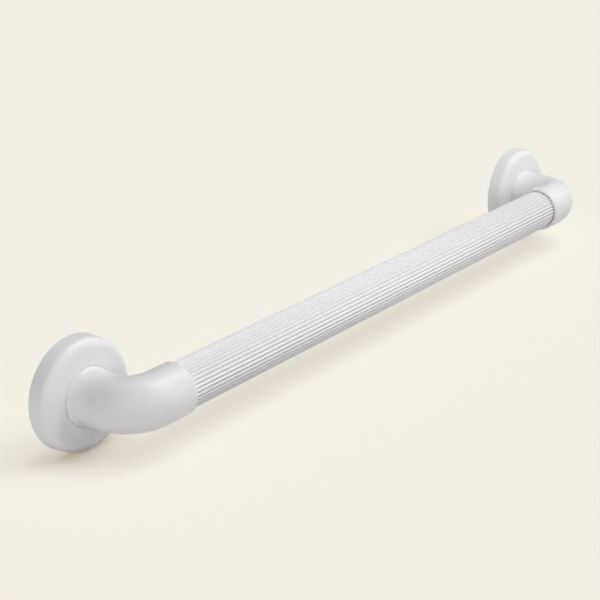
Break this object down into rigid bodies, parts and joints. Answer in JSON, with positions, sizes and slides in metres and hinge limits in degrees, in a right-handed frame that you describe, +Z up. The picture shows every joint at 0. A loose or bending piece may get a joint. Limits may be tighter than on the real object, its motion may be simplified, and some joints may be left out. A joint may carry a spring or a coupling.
{
  "type": "grab bar",
  "caption": "Wall-mounted plastic grab bar: a fluted tube between two rounded elbows, each screwed to the wall under a round push-on cover.",
  "frame": {"origin": "middle of the left elbow's screw circle, on the wall face of its flange", "axes": "+X along the bar from the left fixing to the right one, +Y towards the wall, +Z up"},
  "size_m": [0.61, 0.069, 0.076],
  "materials": {
    "tube_plastic": "satin white extruded plastic",
    "elbow_plastic": "satin white moulded plastic",
    "cover_plastic": "satin white moulded plastic"
  },
  "bodies": {
    "root": {"fluted_tube": "tube_plastic", "elbow_left": "elbow_plastic", "elbow_right": "elbow_plastic", "cover_left": "cover_plastic", "cover_right": "cover_plastic"}
  },
  "joints": []
}
